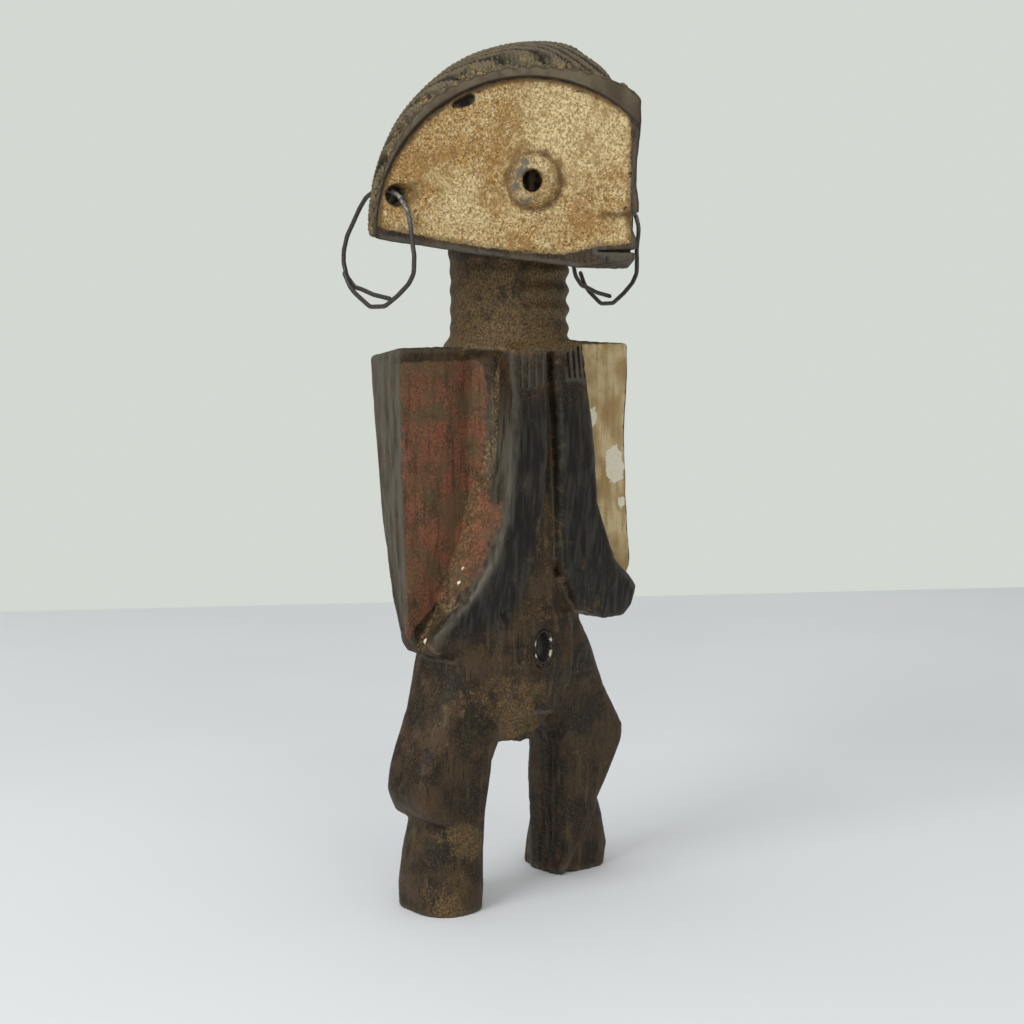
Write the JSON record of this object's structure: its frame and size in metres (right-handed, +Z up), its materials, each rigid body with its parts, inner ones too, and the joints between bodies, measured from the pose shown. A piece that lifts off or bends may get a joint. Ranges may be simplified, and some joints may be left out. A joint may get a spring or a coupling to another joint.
{
  "type": "carved fertility doll",
  "caption": "Standing carved wooden doll with a wedge-shaped face, folded arms, a shell set in its navel and wire hoops that swing in its ears.",
  "frame": {"origin": "on the ground, under the middle of the figure's box", "axes": "+Z up the figure, the face looks along -Y, +X is the figure's left"},
  "size_m": [0.154, 0.122, 0.381],
  "materials": {
    "patinated_wood": "dark hand-worn patina with pale and red earth pigment on the face and arms",
    "shell": "worn glossy shell",
    "resin": "dull dark resin",
    "iron_wire": "dark dull iron"
  },
  "bodies": {
    "figure": {"carved_figure": "patinated_wood", "navel_cowrie": "shell", "navel_resin": "resin"},
    "right_hoop": {"right_earring": "iron_wire"},
    "left_hoop": {"left_earring": "iron_wire"}
  },
  "joints": [
    {"name": "right_hoop_swing", "type": "hinge", "parent": "figure", "child": "right_hoop", "pos_m": [-0.0659, 0.026, 0.3155], "axis": [0, 1, 0], "range_deg": [-20, 130]},
    {"name": "left_hoop_swing", "type": "hinge", "parent": "figure", "child": "left_hoop", "pos_m": [0.0659, 0.026, 0.3155], "axis": [0, -1, 0], "range_deg": [-20, 130]}
  ]
}
